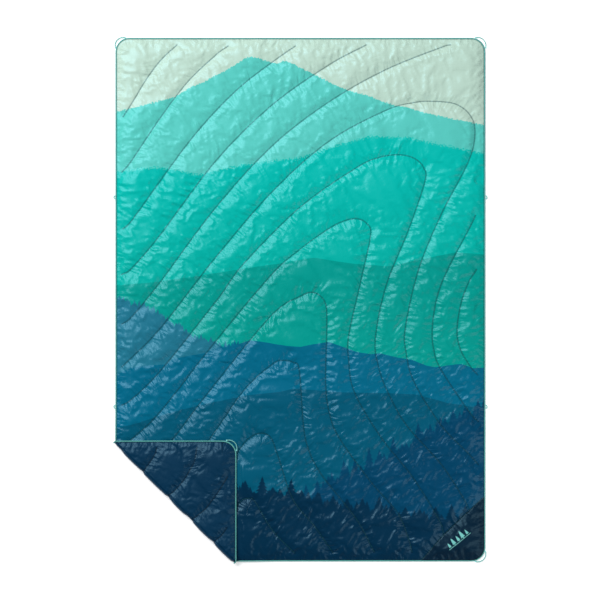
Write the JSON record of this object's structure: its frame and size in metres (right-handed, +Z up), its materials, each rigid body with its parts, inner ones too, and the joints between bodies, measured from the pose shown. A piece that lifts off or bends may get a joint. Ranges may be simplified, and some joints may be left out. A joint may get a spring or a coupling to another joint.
{
  "type": "camp blanket",
  "caption": "Quilted camp blanket lying flat with one corner turned over, with piped edges and cord loops to peg or tie it.",
  "frame": {"origin": "centre of the blanket's outline, at the level it lies on", "axes": "+Z up through the blanket, +Y along its length towards the head end, +X to the right as seen from above"},
  "size_m": [1.3342, 1.874, 0.04],
  "materials": {
    "face_cloth": "printed polyester with a satin sheen",
    "fibre_fill": "matt hollow fibre",
    "back_cloth": "satin woven polyester",
    "patch_cloth": "satin woven polyester",
    "piping_tape": "woven tape",
    "filler_cord": "matt cotton cord",
    "loop_cord": "braided cord",
    "thread": "polyester sewing thread"
  },
  "bodies": {
    "main_panel": {"back_cloth": "back_cloth", "bobbin_thread_01": "thread", "bobbin_thread_02": "thread", "bobbin_thread_03": "thread", "bobbin_thread_04": "thread", "bobbin_thread_05": "thread", "bobbin_thread_06": "thread", "bobbin_thread_07": "thread", "bobbin_thread_08": "thread", "bobbin_thread_09": "thread", "bobbin_thread_10": "thread", "bobbin_thread_11": "thread", "bobbin_thread_12": "thread", "bobbin_thread_13": "thread", "bobbin_thread_14": "thread", "corner_patch": "patch_cloth", "face_cloth": "face_cloth", "insulation": "fibre_fill", "needle_thread_01": "thread", "needle_thread_02": "thread", "needle_thread_03": "thread", "needle_thread_04": "thread", "needle_thread_05": "thread", "needle_thread_06": "thread", "needle_thread_07": "thread", "needle_thread_08": "thread", "needle_thread_09": "thread", "needle_thread_10": "thread", "needle_thread_11": "thread", "needle_thread_12": "thread", "needle_thread_13": "thread", "needle_thread_14": "thread", "patch_thread": "thread", "piping_cord": "filler_cord", "piping_tape": "piping_tape"},
    "turned_corner": {"corner_back_cloth": "back_cloth", "corner_bobbin_thread_09": "thread", "corner_bobbin_thread_10": "thread", "corner_bobbin_thread_11": "thread", "corner_bobbin_thread_12": "thread", "corner_face_cloth": "face_cloth", "corner_insulation": "fibre_fill", "corner_needle_thread_09": "thread", "corner_needle_thread_10": "thread", "corner_needle_thread_11": "thread", "corner_needle_thread_12": "thread", "corner_piping_cord": "filler_cord", "corner_piping_tape": "piping_tape"},
    "corner_loop_bottom_right": {"corner_loop_bottom_right": "loop_cord"},
    "corner_loop_top_left": {"corner_loop_top_left": "loop_cord"},
    "corner_loop_top_right": {"corner_loop_top_right": "loop_cord"},
    "corner_loop_turned": {"corner_loop_turned": "loop_cord"},
    "side_loop_left_lower": {"side_loop_left_lower": "loop_cord"},
    "side_loop_left_upper": {"side_loop_left_upper": "loop_cord"},
    "side_loop_right_lower": {"side_loop_right_lower": "loop_cord"},
    "side_loop_right_upper": {"side_loop_right_upper": "loop_cord"}
  },
  "joints": [
    {"name": "corner_fold", "type": "hinge", "parent": "main_panel", "child": "turned_corner", "pos_m": [-0.4435, -0.7175, 0.02], "axis": [0.7071, -0.7071, 0], "range_deg": [0, 180]},
    {"name": "corner_loop_top_left_swing", "type": "hinge", "parent": "main_panel", "child": "corner_loop_top_left", "pos_m": [-0.64242, 0.91642, 0.0028], "axis": [0.7071, 0.7071, 0], "range_deg": [0, 90]},
    {"name": "corner_loop_top_right_swing", "type": "hinge", "parent": "main_panel", "child": "corner_loop_top_right", "pos_m": [0.64242, 0.91642, 0.0028], "axis": [0.7071, -0.7071, 0], "range_deg": [0, 90]},
    {"name": "corner_loop_bottom_right_swing", "type": "hinge", "parent": "main_panel", "child": "corner_loop_bottom_right", "pos_m": [0.64242, -0.91642, 0.0028], "axis": [-0.7071, -0.7071, 0], "range_deg": [0, 90]},
    {"name": "corner_loop_turned_swing", "type": "hinge", "parent": "turned_corner", "child": "corner_loop_turned", "pos_m": [-0.24458, -0.51858, 0.024], "axis": [0.7071, -0.7071, 0], "range_deg": [0, 90]},
    {"name": "side_loop_left_upper_swing", "type": "hinge", "parent": "main_panel", "child": "side_loop_left_upper", "pos_m": [-0.66235, 0.365, 0.0028], "axis": [0, 1, 0], "range_deg": [0, 90]},
    {"name": "side_loop_left_lower_swing", "type": "hinge", "parent": "main_panel", "child": "side_loop_left_lower", "pos_m": [-0.66235, -0.382, 0.0028], "axis": [0, 1, 0], "range_deg": [0, 90]},
    {"name": "side_loop_right_upper_swing", "type": "hinge", "parent": "main_panel", "child": "side_loop_right_upper", "pos_m": [0.66235, 0.365, 0.0028], "axis": [0, -1, 0], "range_deg": [0, 90]},
    {"name": "side_loop_right_lower_swing", "type": "hinge", "parent": "main_panel", "child": "side_loop_right_lower", "pos_m": [0.66235, -0.382, 0.0028], "axis": [0, -1, 0], "range_deg": [0, 90]}
  ]
}
